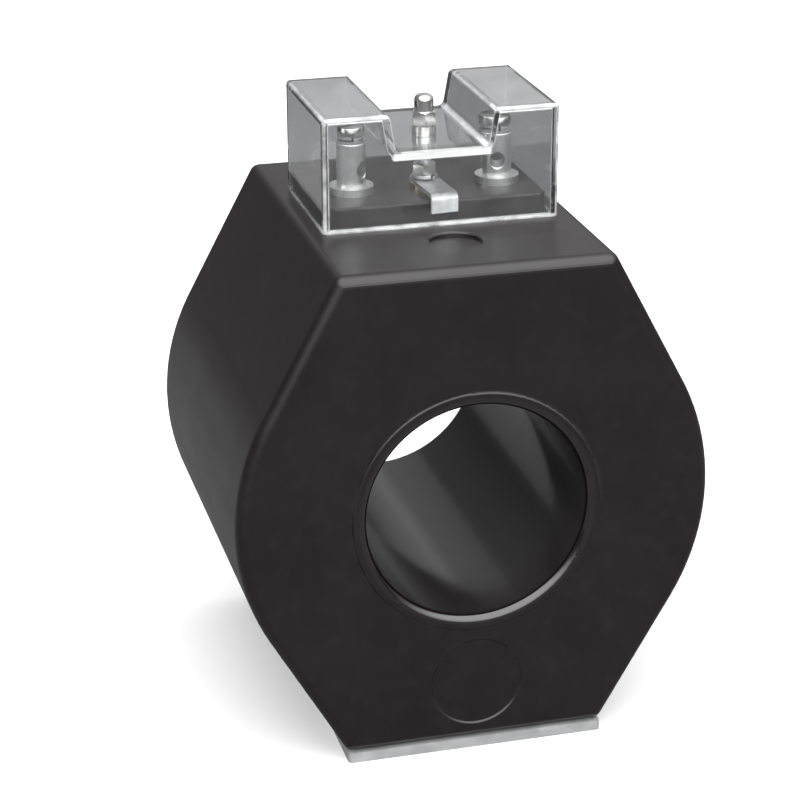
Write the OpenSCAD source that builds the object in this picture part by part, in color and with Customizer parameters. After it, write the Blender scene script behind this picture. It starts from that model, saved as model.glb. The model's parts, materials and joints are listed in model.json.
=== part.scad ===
// Window-type current transformer: a cast-resin block round a wound ring core, with two
// secondary terminals and an earthing link under a clear cover that one nut holds and seals.
// Millimetres. X runs across the block, Y along its window, Z up from the base plate's underside.

/* [Casting] */
// Diameter of the window that the primary conductor passes through
window_d = 80; // [74:1:84]
// Radius of the barrel sides, about the window's axis
barrel_r = 86; // [85:0.5:88]
// Width of the flat top
top_flat_w = 98; // [94:1:106]
// Width of the flat bottom
bottom_flat_w = 95; // [90:1:100]
// Rise of the flat top above the barrel
top_rise = 4.5; // [3.5:0.5:10]
// Depth of the flat bottom below the barrel
bottom_rise = 3.5; // [3:0.5:10]
// Length of the casting along its window
casting_len = 144; // [130:1:160]
// Radius of the casting's rounded edges
edge_r = 4; // [2:0.5:6]
// Radius of the rounded mouths of the window
mouth_r = 3; // [1:0.5:4]
// Flat width of the raised land round each mouth
land_w = 2.4; // [1.5:0.1:4]
// Height of the raised land
land_h = 0.8; // [0.4:0.1:1.5]
// Diameter of the plain round field below the window, on the front
field_d = 33; // [26:1:36]
// Depth of the plain round field
field_depth = 0.6; // [0.3:0.1:1]
// Distance of the field's centre below the window's axis
field_drop = 66.8; // [65:0.2:68]
// Diameter of the filling mark in front of the cover
fill_mark_d = 18.6; // [14:0.2:20]
// Depth of the filling mark
fill_mark_depth = 1.4; // [0.6:0.1:2]
// Distance of the filling mark's centre in front of the terminals
fill_mark_ahead = 42.2; // [38:0.2:48]
// Radius of the small lips of the field and of the filling mark
lip_r = 0.5; // [0.2:0.1:0.5]

/* [Terminal plinth and cover] */
// Height of the terminal plinth
plinth_h = 7.8; // [7:0.2:11]
// Radius of the plinth's upright corners
plinth_corner_r = 3.5; // [2:0.5:5]
// Radius of the plinth's top edge
plinth_edge_r = 1; // [0.5:0.1:2]
// Width of the cover over both humps
cover_w = 86.2; // [84:0.2:92]
// Depth of the cover, front to back
cover_depth = 59.5; // [56:0.5:64]
// Height of the humps above the casting's top
cover_h = 41.5; // [40:0.5:50]
// Wall of the cover
cover_wall = 2.4; // [1.8:0.1:2.8]
// Distance of the cover's centre behind the terminals
cover_setback = 4.8; // [4:0.2:7]
// Play between the cover and the plinth, on each side
cover_play = 0.5; // [0.3:0.1:1]
// Height of the valley's floor above the casting's top
valley_h = 27.3; // [25:0.1:29]
// Width of the valley at its floor
valley_floor_w = 33.4; // [28:0.2:35]
// Width of the valley at the top of the humps
valley_top_w = 38.4; // [36:0.2:42]
// Radius of the cover's outer edges
cover_edge_r = 2.4; // [1:0.1:3.5]
// Radius where the valley's sides meet its floor
valley_fillet_r = 3; // [1:0.1:4]
// Width of each wire entry in the cover's back wall
entry_w = 9; // [6:0.5:12]
// Height of the wire entries above the casting's top
entry_h = 17; // [15:0.5:22]

/* [Terminal posts] */
// Distance between the two terminal posts
post_spacing = 54.4; // [50:0.2:58]
// Diameter of a post
post_d = 10.4; // [9:0.1:12]
// Height of a post above its flange
post_h = 16; // [14:0.1:18]
// Diameter of a post's flange
flange_d = 16; // [14:0.5:19]
// Thickness of a post's flange
flange_t = 2.6; // [1.5:0.1:3.5]
// Diameter of a post's cast-in shank
shank_d = 6; // [5:0.5:7]
// Depth of the cast-in shank below the plinth's top
shank_len = 13; // [10:0.5:14]
// Diameter of the collar that anchors the shank
anchor_d = 9; // [8:0.5:10]
// Height of the anchoring collar
anchor_h = 3; // [2:0.5:4]
// Diameter of the wire hole across a post
wire_hole_d = 5.8; // [4:0.1:6.4]
// Height of the wire hole's axis above the plinth's top
wire_hole_h = 8.8; // [8:0.1:9.4]
// Radius of the countersink at each end of the wire hole
wire_lead_in = 0.5; // [0.2:0.1:0.7]
// Direction that the left post's wire hole faces, from straight ahead towards the right
left_hole_angle = 43; // [0:1:60]
// Direction that the right post's wire hole faces, from straight ahead towards the right
right_hole_angle = -15; // [-60:1:0]
// Thread diameter of a clamp screw
clamp_thread_d = 5; // [4:0.5:5]
// Diameter of a clamp screw's head
clamp_head_d = 9.8; // [8:0.1:10.2]
// Height of a clamp screw's head
clamp_head_h = 3.2; // [2.4:0.1:4]
// Width of the slot in a clamp screw's head
slot_w = 1.2; // [0.8:0.1:1.6]
// Depth of the slot in a clamp screw's head
slot_depth = 1.7; // [1:0.1:2]
// Outer diameter of the flat washer under a clamp screw
clamp_washer_d = 10; // [9:0.1:10.4]
// Thickness of the flat washer
clamp_washer_t = 0.9; // [0.6:0.1:1.5]

/* [Centre stud, link and seal] */
// Thread diameter of the centre stud
stud_d = 5; // [4:0.5:5]
// Depth of the centre stud's insert below the plinth's top
insert_len = 12; // [9:0.5:13]
// Diameter of the centre stud's insert
insert_d = 9; // [8:0.5:10]
// Diameter of the insert's flange
insert_flange_d = 11; // [10:0.5:13]
// Thickness of the insert's flange
insert_flange_t = 1.7; // [1:0.1:2.5]
// Width of the link strap
strap_w = 9.8; // [8:0.1:12]
// Thickness of the link strap
strap_t = 1.3; // [0.8:0.1:1.6]
// How far the strap reaches behind the stud
strap_tail = 6.5; // [5:0.5:9]
// Height of the gap between the strap's lower end and the casting's top
strap_end_gap = 3.9; // [2:0.1:6]
// Inner radius of the strap's bend
strap_bend_r = 1.2; // [0.8:0.1:2]
// Turn of the strap about the stud, towards the right
strap_turn = 4.5; // [-4.5:0.5:4.5]
// Width across the flats of the nuts
nut_flats = 8; // [7:0.5:9]
// Height of the link nut
link_nut_h = 4; // [3:0.5:5]
// Outer diameter of the spring washers
spring_washer_d = 9.2; // [8.5:0.1:10]
// Thickness of the spring washers
spring_washer_t = 1.7; // [1.2:0.1:2]
// Outer diameter of the seal collar
collar_d = 8.8; // [8:0.1:10]
// Height of the seal collar
collar_h = 3; // [2:0.1:4]
// Height of the sealing nut's hexagon
seal_hex_h = 5.3; // [4.5:0.1:7]
// Diameter of the sealing nut's head
seal_head_d = 7; // [6:0.1:7.6]
// Height of the sealing nut's head
seal_head_h = 6; // [4.5:0.1:7]
// Rounding of the sealing nut's head
seal_crown_r = 2.2; // [1:0.1:2.8]
// Diameter of the sealing wire's hole
seal_hole_d = 2; // [1.2:0.1:2.4]
// Height of the sealing wire's hole above the hexagon
seal_hole_h = 2.7; // [2:0.1:3]

/* [Base plate] */
// Thickness of the base plate
plate_t = 4; // [3:0.5:6]
// Radius of the base plate's upright corners
plate_corner_r = 1.5; // [0.5:0.5:4]
// Spacing of the mounting holes across the block
mount_spacing_x = 66; // [60:1:70]
// Spacing of the mounting holes along the block
mount_spacing_y = 104; // [90:1:106]
// Diameter of the tapped mounting holes
mount_hole_d = 5; // [4:0.1:6.5]
// Depth of the clearance above each mounting hole, in the resin
mount_relief = 10; // [6:0.5:11]
// Spacing of the plate's own screws across the block
plate_screw_spacing_x = 66; // [60:1:70]
// Spacing of the plate's own screws along the block
plate_screw_spacing_y = 52; // [40:1:60]
// Thread diameter of the plate's screws
plate_screw_d = 4; // [3:0.5:5]
// Head diameter of the plate's countersunk screws
plate_head_d = 8; // [7:0.5:9]
// Length of the plate's screws
plate_screw_len = 11; // [9:0.5:12]
// Width of the plate screws' sockets across the corners
socket_d = 2.8; // [2.4:0.1:3.4]
// Depth of the plate screws' sockets
socket_depth = 1.2; // [0.8:0.1:1.6]
// Depth of the plate screws' inserts
plate_insert_len = 9; // [8:0.5:10]
// Diameter of the plate screws' inserts
plate_insert_d = 8; // [7:0.5:9]

/* [Core and windings] */
// Resin between the window and the wound core
window_wall = 5.5; // [4.5:0.1:7]
// Resin between the wound core and the barrel's sides
side_wall = 6; // [5:0.5:8]
// Resin between the wound core and each end face
end_wall = 7; // [6:0.5:12]
// Thickness of the padding tape round the winding
wrap_t = 1; // [0.6:0.1:1.5]
// Thickness of the secondary winding
winding_t = 4; // [2:0.1:5]
// Thickness of the core's insulation
core_wrap_t = 1; // [0.5:0.1:1.5]
// Rounding of the winding's edges
winding_edge_r = 3; // [2:0.5:4]
// Diameter of the insulated leads from the winding to the posts
lead_d = 2.4; // [1.6:0.1:3]

/* [Hidden] */

$fn = 64;
// Facets of the barrel's full circle and of its edge rounding
BARREL_FN = 120;
ROD_FN = 32;
EDGE_STEP = 11.25;
// Overshoot of cutting shapes past the face they cut
OVER = 1;
// Clearance of a cast-in or nested round face
CAST_GAP = 0.1;
// Radial clearance of a thread or of a shaft that turns
THREAD_GAP = 0.06;
// Radial clearance of a washer on its screw
WASHER_GAP = 0.1;
// Radial clearance of a screw or stud in a plain hole
HOLE_GAP = 0.5;
// Gap between the strap's hanging end and the plinth
STRAP_GAP = 0.4;
// Width of the split in a spring washer
SPLIT_W = 1;
// Chamfer of posts, screws and studs
THREAD_CHAMFER = 0.5;
// Slope of a nut's corner chamfers, and how far its round end face lies inside its flats
HEX_CHAMFER = 30;
HEX_RIM = 0.15;
// Directions in which the nuts, slots and washer splits happen to stand
LINK_NUT_TURN = 12;
SEAL_NUT_TURN = 20;
LEFT_SLOT_TURN = 20;
RIGHT_SLOT_TURN = -35;
SPLIT_TURN = 40;
// Least rounding of the cover's inner edges and of the wound layers' edges
COVER_EDGE_MIN = 0.4;
LAYER_EDGE_MIN = 1;
// Part of the wire hole that stays open below a clamp screw's tip
TIP_GAP = 0.4;
// How far the stud reaches into the sealing nut, and the free depth left beyond it
SEAL_ENGAGEMENT = 4.7;
SEAL_FREE = 0.5;
// Closed floor below the stud in its insert
INSERT_FLOOR = 1;
// Countersink allowance of the plate's screws
SINK_DEPTH = 0.2;

RESIN = [0.16, 0.15, 0.15];
NICKEL = [0.74, 0.72, 0.68];
STEEL = [0.72, 0.73, 0.74];
BRASS = [0.78, 0.62, 0.32];
COPPER = [0.72, 0.42, 0.26];
CORE_STEEL = [0.45, 0.46, 0.48];
BOARD = [0.72, 0.62, 0.44];
TAPE = [0.85, 0.82, 0.74];
LEAD = [0.55, 0.12, 0.10];
CLEAR = [0.85, 0.88, 0.90, 0.35];

axis_to_top = barrel_r + top_rise;
axis_to_bottom = barrel_r + bottom_rise;
axis_z = plate_t + axis_to_bottom;
casting_bottom = plate_t;
casting_top = axis_z + axis_to_top;
plinth_top = casting_top + plinth_h;
window_r = window_d / 2;
land_r = window_r + mouth_r + land_w;
end_y = casting_len / 2;

pack_in_r = window_r + window_wall;
pack_out_r = barrel_r - side_wall;
pack_len = casting_len - 2 * end_wall;

cover_in_w = cover_w - 2 * cover_wall;
cover_in_depth = cover_depth - 2 * cover_wall;
plinth_w = cover_in_w - 2 * cover_play;
strap_swing = strap_w / 2 * sin(abs(strap_turn));
strap_front = cover_setback - cover_in_depth / 2 + cover_play + strap_swing;
plinth_front = strap_front + strap_t + strap_swing + STRAP_GAP;
plinth_back = cover_setback + cover_in_depth / 2 - cover_play;

post_foot = plinth_top + flange_t;
post_top = post_foot + post_h;
wire_hole_z = plinth_top + wire_hole_h;
clamp_tip_z = wire_hole_z + wire_hole_d / 2 + TIP_GAP;
clamp_spring_z = post_top + clamp_washer_t;
clamp_head_z = clamp_spring_z + spring_washer_t;

strap_z = plinth_top + insert_flange_t;
link_spring_z = strap_z + strap_t;
link_nut_z = link_spring_z + spring_washer_t;
valley_z = casting_top + valley_h;
collar_z = valley_z;
seal_nut_z = collar_z + collar_h;
stud_top = seal_nut_z + SEAL_ENGAGEMENT;
stud_foot = plinth_top - insert_len + INSERT_FLOOR;
stud_r = stud_d / 2;

// Height above the window's axis at which each lead leaves the winding
lead_foot = sqrt(pow(pack_out_r - wrap_t - winding_t / 2, 2) - pow(post_spacing / 2, 2));
lead_len = plinth_top - shank_len - axis_z - lead_foot;

// ---------- shared shapes ----------

function unit(v) = v / norm(v);
function half_corner(p, before, after) = acos(unit(before - p) * unit(after - p)) / 2;
function turns_left(p, before, after) = cross(p - before, after - p) > 0;

// A closed outline, points anticlockwise, whose corners have true arcs of the given radii.
module soft_outline(points, radii) {
    n = len(points);
    before = [for (i = [0:n - 1]) points[(i + n - 1) % n]];
    after = [for (i = [0:n - 1]) points[(i + 1) % n]];
    soft = [for (i = [0:n - 1]) if (radii[i] > 0) i];
    feet = [for (i = [0:n - 1]) arc_feet(points[i], before[i], after[i], radii[i])];
    difference() {
        union() {
            polygon([for (i = [0:n - 1]) each feet[i]]);
            for (i = soft) if (turns_left(points[i], before[i], after[i]))
                corner_arc(points[i], before[i], after[i], radii[i], feet[i]);
        }
        for (i = soft) if (!turns_left(points[i], before[i], after[i]))
            corner_arc(points[i], before[i], after[i], radii[i], feet[i]);
    }
}

// Where a corner's arc meets its two sides, or the corner itself if it stays sharp.
function arc_feet(p, before, after, r) =
    let (reach = r / tan(half_corner(p, before, after)))
    r > 0 ? [p + unit(before - p) * reach, p + unit(after - p) * reach] : [p];

// The part of a corner's circle that lies between its feet and the corner.
module corner_arc(p, before, after, r, feet) {
    inward = unit(unit(before - p) + unit(after - p));
    intersection() {
        translate(p + inward * r / sin(half_corner(p, before, after))) circle(r);
        polygon([feet[0], p, feet[1]]);
    }
}

// Puts a profile drawn in X and Z into the front view and extrudes it along Y.
module along_y(length) {
    rotate([90, 0, 0]) linear_extrude(length, center = true) children();
}

// Puts a profile drawn in Y and Z into the side view and extrudes it along X.
module along_x(length) {
    rotate([90, 0, 90]) linear_extrude(length, center = true) children();
}

module round_box(size_x, size_y, height, corner_r) {
    x = size_x / 2;
    y = size_y / 2;
    linear_extrude(height)
        soft_outline([[-x, -y], [x, -y], [x, y], [-x, y]], [corner_r, corner_r, corner_r, corner_r]);
}

module four_corners(spacing_x, spacing_y) {
    for (x = [-1, 1], y = [-1, 1]) translate([x * spacing_x / 2, y * spacing_y / 2, 0]) children();
}

// A round bar along Y with rounded end edges.
module round_ended_bar(r, length, rounding, facets) {
    quarter = [for (a = [0:EDGE_STEP:90])
        [r - rounding + rounding * cos(a), length / 2 - rounding + rounding * sin(a)]];
    last = len(quarter) - 1;
    rotate([90, 0, 0]) rotate_extrude($fn = facets)
        polygon(concat(
            [[0, -length / 2]],
            [for (i = [last:-1:0]) [quarter[i][0], -quarter[i][1]]],
            quarter,
            [[0, length / 2]]));
}

// A disc cutter with a small flared lip at its mouth, which lies at z = 0.
module shallow_field(d, depth) {
    translate([0, 0, -depth]) cylinder(d = d, h = depth + OVER);
    translate([0, 0, -lip_r]) cylinder(d1 = d, d2 = d + 2 * lip_r, h = lip_r);
    cylinder(d = d + 2 * lip_r, h = OVER);
}

// A hexagon whose corners are chamfered at both ends, as on a turned nut.
module hex_body(flats, height) {
    rim_r = flats / 2 - HEX_RIM;
    waist_r = rim_r + height / 2 / tan(HEX_CHAMFER);
    intersection() {
        cylinder(r = flats / sqrt(3), h = height, $fn = 6);
        union() {
            cylinder(r1 = rim_r, r2 = waist_r, h = height / 2);
            translate([0, 0, height / 2]) cylinder(r1 = waist_r, r2 = rim_r, h = height / 2);
        }
    }
}

module ring(outer_d, inner_r, height) {
    difference() {
        cylinder(d = outer_d, h = height);
        translate([0, 0, -OVER]) cylinder(r = inner_r, h = height + 2 * OVER);
    }
}

module spring_washer(inner_r) {
    difference() {
        ring(spring_washer_d, inner_r, spring_washer_t);
        rotate([0, 0, SPLIT_TURN]) translate([0, -SPLIT_W / 2, -OVER])
            cube([spring_washer_d, SPLIT_W, spring_washer_t + 2 * OVER]);
    }
}

// ---------- casting ----------

// Centre of a rounded corner between a level flat and the line that touches the barrel.
function flat_corner(half_w, h) =
    let (d = norm([half_w, h]), tangent = atan2(h, half_w) - acos(barrel_r / d),
         normal = [cos(tangent), sin(tangent)], z = h - edge_r)
    [(barrel_r - edge_r - z * normal[1]) / normal[0], z];

module casting_block() {
    top = flat_corner(top_flat_w / 2, axis_to_top);
    bottom = flat_corner(bottom_flat_w / 2, axis_to_bottom);
    hull() {
        round_ended_bar(barrel_r, casting_len, edge_r, BARREL_FN);
        for (side = [-1, 1], corner = [top, [bottom[0], -bottom[1]]])
            translate([side * corner[0], 0, corner[1]])
                round_ended_bar(edge_r, casting_len, edge_r, ROD_FN);
    }
}

// Raised land and mouth rounding, drawn from the window's radius outwards at one end face.
module mouth_land() {
    rotate_extrude() {
        translate([window_r - OVER, -OVER]) square([mouth_r + land_w - land_h + OVER, OVER + land_h]);
        translate([window_r - OVER, -OVER]) square([mouth_r + land_w + OVER, OVER]);
        intersection() {
            translate([land_r - land_h, 0]) circle(land_h);
            translate([land_r - land_h, 0]) square([land_h, land_h]);
        }
    }
}

module mouth_cutter() {
    rotate_extrude() difference() {
        translate([window_r - OVER, land_h - mouth_r]) square([mouth_r + OVER, mouth_r + OVER]);
        translate([window_r + mouth_r, land_h - mouth_r]) circle(mouth_r);
    }
}

module at_both_ends() {
    for (turn = [0, 180]) rotate([0, 0, turn]) translate([0, -end_y, 0]) rotate([90, 0, 0]) children();
}

module plinth() {
    depth = plinth_back - plinth_front;
    half_w = plinth_w / 2;
    translate([0, (plinth_front + plinth_back) / 2, 0]) intersection() {
        round_box(plinth_w, depth, plinth_h, plinth_corner_r);
        along_y(depth) soft_outline(
            [[-half_w, -OVER], [half_w, -OVER], [half_w, plinth_h], [-half_w, plinth_h]],
            [0, 0, plinth_edge_r, plinth_edge_r]);
        along_x(plinth_w) soft_outline(
            [[-depth / 2, -OVER], [depth / 2, -OVER], [depth / 2, plinth_h], [-depth / 2, plinth_h]],
            [0, 0, plinth_edge_r, plinth_edge_r]);
    }
}

// Everything below a post's flange, widened by gap for the hole that it is cast into.
module post_shank(gap) {
    translate([0, 0, -shank_len]) cylinder(d = anchor_d + 2 * gap, h = anchor_h);
    translate([0, 0, -shank_len]) cylinder(d = shank_d + 2 * gap, h = shank_len);
}

module at_posts() {
    for (side = [-1, 1]) translate([side * post_spacing / 2, 0, 0]) children();
}

module wound_ring(in_r, out_r, length, rounding) {
    rotate([90, 0, 0]) rotate_extrude()
        soft_outline([[in_r, -length / 2], [out_r, -length / 2], [out_r, length / 2], [in_r, length / 2]],
            [rounding, rounding, rounding, rounding]);
}

module lead_hole() {
    at_posts() translate([0, 0, axis_z + lead_foot]) cylinder(d = lead_d + 2 * CAST_GAP, h = lead_len);
}

module resin_body() {
    color(RESIN) difference() {
        union() {
            translate([0, 0, axis_z]) casting_block();
            translate([0, 0, axis_z]) at_both_ends() mouth_land();
            translate([0, 0, casting_top]) plinth();
            translate([0, (plinth_front + plinth_back) / 2, casting_top - OVER])
                round_box(plinth_w, plinth_back - plinth_front, OVER + plinth_edge_r, plinth_corner_r);
        }
        translate([0, 0, axis_z]) rotate([90, 0, 0])
            cylinder(r = window_r, h = casting_len + 2 * land_h + 2 * OVER, center = true);
        translate([0, 0, axis_z]) at_both_ends() mouth_cutter();
        translate([0, -end_y, axis_z - field_drop]) rotate([90, 0, 0]) shallow_field(field_d, field_depth);
        translate([0, -fill_mark_ahead, casting_top]) shallow_field(fill_mark_d, fill_mark_depth);
        translate([0, 0, axis_z]) wound_ring(pack_in_r, pack_out_r, pack_len, winding_edge_r);
        lead_hole();
        translate([0, 0, plinth_top]) at_posts() post_shank(CAST_GAP);
        translate([0, 0, plinth_top - insert_len])
            cylinder(d = insert_d + 2 * CAST_GAP, h = insert_len + OVER);
        translate([0, 0, casting_bottom - OVER]) {
            four_corners(mount_spacing_x, mount_spacing_y)
                cylinder(d = mount_hole_d + 2 * HOLE_GAP, h = mount_relief + OVER);
            four_corners(plate_screw_spacing_x, plate_screw_spacing_y)
                cylinder(d = plate_insert_d + 2 * CAST_GAP, h = plate_insert_len + OVER);
        }
    }
}

// ---------- core and windings ----------

// One layer of the wound pack: depth is how far it lies below the pack's outside, t its thickness.
module pack_layer(depth, t) {
    inner = depth + t;
    edge = max(winding_edge_r - depth, LAYER_EDGE_MIN);
    inner_edge = max(edge - t, LAYER_EDGE_MIN);
    difference() {
        wound_ring(pack_in_r + depth + CAST_GAP, pack_out_r - depth - CAST_GAP, pack_len - 2 * depth, edge);
        wound_ring(pack_in_r + inner, pack_out_r - inner, pack_len - 2 * inner, inner_edge);
    }
}

module ring_core() {
    depth = wrap_t + winding_t + core_wrap_t;
    color(CORE_STEEL) translate([0, 0, axis_z])
        wound_ring(pack_in_r + depth + CAST_GAP, pack_out_r - depth - CAST_GAP, pack_len - 2 * depth,
            max(winding_edge_r - depth, LAYER_EDGE_MIN));
}

module core_insulation() {
    color(BOARD) translate([0, 0, axis_z]) pack_layer(wrap_t + winding_t, core_wrap_t);
}

module secondary_winding() {
    color(COPPER) difference() {
        translate([0, 0, axis_z]) pack_layer(wrap_t, winding_t);
        lead_hole();
    }
}

module winding_wrap() {
    color(TAPE) difference() {
        translate([0, 0, axis_z]) pack_layer(0, wrap_t);
        lead_hole();
    }
}

module winding_lead(side) {
    color(LEAD) translate([side * post_spacing / 2, 0, axis_z + lead_foot])
        cylinder(d = lead_d, h = lead_len);
}
module lead_left() { winding_lead(-1); }
module lead_right() { winding_lead(1); }

// ---------- terminal posts ----------

module terminal_post(side, hole_angle) {
    color(NICKEL) translate([side * post_spacing / 2, 0, 0]) difference() {
        union() {
            translate([0, 0, plinth_top]) post_shank(0);
            translate([0, 0, plinth_top]) cylinder(d = flange_d, h = flange_t);
            translate([0, 0, post_foot]) cylinder(d = post_d, h = post_h - THREAD_CHAMFER);
            translate([0, 0, post_top - THREAD_CHAMFER])
                cylinder(d1 = post_d, d2 = post_d - 2 * THREAD_CHAMFER, h = THREAD_CHAMFER);
        }
        translate([0, 0, wire_hole_z]) rotate([0, 0, hole_angle]) rotate([90, 0, 0]) {
            cylinder(d = wire_hole_d, h = post_d + 2 * OVER, center = true);
            for (flip = [0, 180]) rotate([0, flip, 0])
                translate([0, 0, post_d / 2 - wire_lead_in])
                    cylinder(d1 = wire_hole_d, d2 = wire_hole_d + 4 * wire_lead_in, h = 2 * wire_lead_in);
        }
        translate([0, 0, wire_hole_z]) cylinder(r = clamp_thread_d / 2 + THREAD_GAP, h = post_h);
    }
}
module terminal_post_left() { terminal_post(-1, left_hole_angle); }
module terminal_post_right() { terminal_post(1, right_hole_angle); }

module clamp_screw(side, slot_turn) {
    shank = clamp_head_z - clamp_tip_z;
    color(NICKEL) translate([side * post_spacing / 2, 0, clamp_head_z]) difference() {
        union() {
            cylinder(d = clamp_head_d, h = clamp_head_h - THREAD_CHAMFER);
            translate([0, 0, clamp_head_h - THREAD_CHAMFER])
                cylinder(d1 = clamp_head_d, d2 = clamp_head_d - 2 * THREAD_CHAMFER, h = THREAD_CHAMFER);
            translate([0, 0, THREAD_CHAMFER - shank]) cylinder(d = clamp_thread_d, h = shank - THREAD_CHAMFER);
            translate([0, 0, -shank])
                cylinder(d1 = clamp_thread_d - 2 * THREAD_CHAMFER, d2 = clamp_thread_d, h = THREAD_CHAMFER);
        }
        rotate([0, 0, slot_turn]) translate([-clamp_head_d, -slot_w / 2, clamp_head_h - slot_depth])
            cube([2 * clamp_head_d, slot_w, slot_depth + OVER]);
    }
}
module clamp_screw_left() { clamp_screw(-1, LEFT_SLOT_TURN); }
module clamp_screw_right() { clamp_screw(1, RIGHT_SLOT_TURN); }

module clamp_washer(side) {
    color(STEEL) translate([side * post_spacing / 2, 0, post_top])
        ring(clamp_washer_d, clamp_thread_d / 2 + WASHER_GAP, clamp_washer_t);
}
module clamp_washer_left() { clamp_washer(-1); }
module clamp_washer_right() { clamp_washer(1); }

module clamp_spring(side) {
    color(STEEL) translate([side * post_spacing / 2, 0, clamp_spring_z])
        spring_washer(clamp_thread_d / 2 + WASHER_GAP);
}
module clamp_spring_left() { clamp_spring(-1); }
module clamp_spring_right() { clamp_spring(1); }

// ---------- centre stud, link and seal ----------

module stud_insert() {
    color(BRASS) difference() {
        union() {
            translate([0, 0, plinth_top - insert_len]) cylinder(d = insert_d, h = insert_len);
            translate([0, 0, plinth_top]) cylinder(d = insert_flange_d, h = insert_flange_t);
        }
        translate([0, 0, stud_foot]) cylinder(r = stud_r + THREAD_GAP, h = insert_len + insert_flange_t);
    }
}

module centre_stud() {
    color(STEEL) union() {
        translate([0, 0, stud_foot]) cylinder(r = stud_r, h = stud_top - stud_foot - THREAD_CHAMFER);
        translate([0, 0, stud_top - THREAD_CHAMFER])
            cylinder(r1 = stud_r, r2 = stud_r - THREAD_CHAMFER, h = THREAD_CHAMFER);
    }
}

// A flat strap, round at the back, bent down over the plinth's front edge.
module link_strap() {
    outer_bend = strap_bend_r + strap_t;
    strap_end = casting_top + strap_end_gap;
    color(NICKEL) rotate([0, 0, strap_turn]) difference() {
        intersection() {
            along_x(strap_w) soft_outline([
                [strap_front, strap_end],
                [strap_front + strap_t, strap_end],
                [strap_front + strap_t, strap_z],
                [strap_tail, strap_z],
                [strap_tail, link_spring_z],
                [strap_front, link_spring_z]],
                [0, 0, strap_bend_r, 0, 0, outer_bend]);
            translate([0, 0, strap_end - OVER]) linear_extrude(link_spring_z - strap_end + 2 * OVER) union() {
                translate([-strap_w / 2, strap_front - OVER])
                    square([strap_w, strap_tail - strap_w / 2 - strap_front + OVER]);
                translate([0, strap_tail - strap_w / 2]) circle(d = strap_w);
            }
        }
        translate([0, 0, strap_z - OVER]) cylinder(r = stud_r + WASHER_GAP, h = strap_t + 2 * OVER);
    }
}

module link_spring() {
    color(STEEL) translate([0, 0, link_spring_z]) spring_washer(stud_r + WASHER_GAP);
}

module link_nut() {
    color(NICKEL) translate([0, 0, link_nut_z]) rotate([0, 0, LINK_NUT_TURN]) difference() {
        hex_body(nut_flats, link_nut_h);
        translate([0, 0, -OVER]) cylinder(r = stud_r + THREAD_GAP, h = link_nut_h + 2 * OVER);
    }
}

// The cover's solid form, shrunk by inset on every side that faces out.
module cover_form(inset) {
    half_w = cover_w / 2 - inset;
    top = cover_h - inset;
    floor_z = valley_h - inset;
    lean = (valley_top_w - valley_floor_w) / 2 / (cover_h - valley_h);
    wall_shift = inset * sqrt(1 + lean * lean);
    floor_half = valley_floor_w / 2 + wall_shift - inset * lean;
    top_half = floor_half + (top - floor_z) * lean;
    outer_r = max(cover_edge_r - inset, COVER_EDGE_MIN);
    depth = cover_depth - 2 * inset;
    bottom = inset > 0 ? -OVER : 0;
    translate([0, cover_setback, casting_top]) intersection() {
        along_y(depth) soft_outline([
            [-half_w, bottom], [half_w, bottom], [half_w, top], [top_half, top],
            [floor_half, floor_z], [-floor_half, floor_z], [-top_half, top], [-half_w, top]],
            [0, 0, outer_r, outer_r, valley_fillet_r + inset, valley_fillet_r + inset, outer_r, outer_r]);
        along_x(2 * half_w) soft_outline(
            [[-depth / 2, bottom], [depth / 2, bottom], [depth / 2, top], [-depth / 2, top]],
            [0, 0, outer_r, outer_r]);
        translate([0, 0, bottom]) round_box(2 * half_w, depth, top - bottom, outer_r);
    }
}

module wire_entries() {
    back = cover_setback + cover_depth / 2;
    at_posts() translate([0, back - cover_wall / 2, casting_top]) along_y(cover_wall + 2 * OVER) union() {
        translate([-entry_w / 2, -OVER]) square([entry_w, entry_h - entry_w / 2 + OVER]);
        translate([0, entry_h - entry_w / 2]) circle(d = entry_w);
    }
}

module terminal_cover() {
    color(CLEAR) difference() {
        cover_form(0);
        cover_form(cover_wall);
        translate([0, 0, valley_z - cover_wall - OVER])
            cylinder(r = stud_r + HOLE_GAP, h = cover_wall + 2 * OVER);
        wire_entries();
    }
}

module seal_collar() {
    color(STEEL) translate([0, 0, collar_z]) ring(collar_d, stud_r + WASHER_GAP, collar_h);
}

// A hexagon nut, closed above, with a round head drilled across for the sealing wire.
module sealing_nut() {
    head_r = seal_head_d / 2;
    color(NICKEL) translate([0, 0, seal_nut_z]) rotate([0, 0, SEAL_NUT_TURN]) difference() {
        union() {
            hex_body(nut_flats, seal_hex_h);
            translate([0, 0, seal_hex_h]) rotate_extrude() intersection() {
                soft_outline(
                    [[-head_r, -OVER], [head_r, -OVER], [head_r, seal_head_h], [-head_r, seal_head_h]],
                    [0, 0, seal_crown_r, seal_crown_r]);
                translate([0, -OVER]) square([head_r, seal_head_h + OVER]);
            }
        }
        translate([0, 0, -OVER]) cylinder(r = stud_r + THREAD_GAP, h = SEAL_ENGAGEMENT + SEAL_FREE + OVER);
        translate([0, 0, seal_hex_h + seal_hole_h]) rotate([0, 90, 0])
            cylinder(d = seal_hole_d, h = 2 * seal_head_d, center = true);
    }
}

// ---------- base plate ----------

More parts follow.
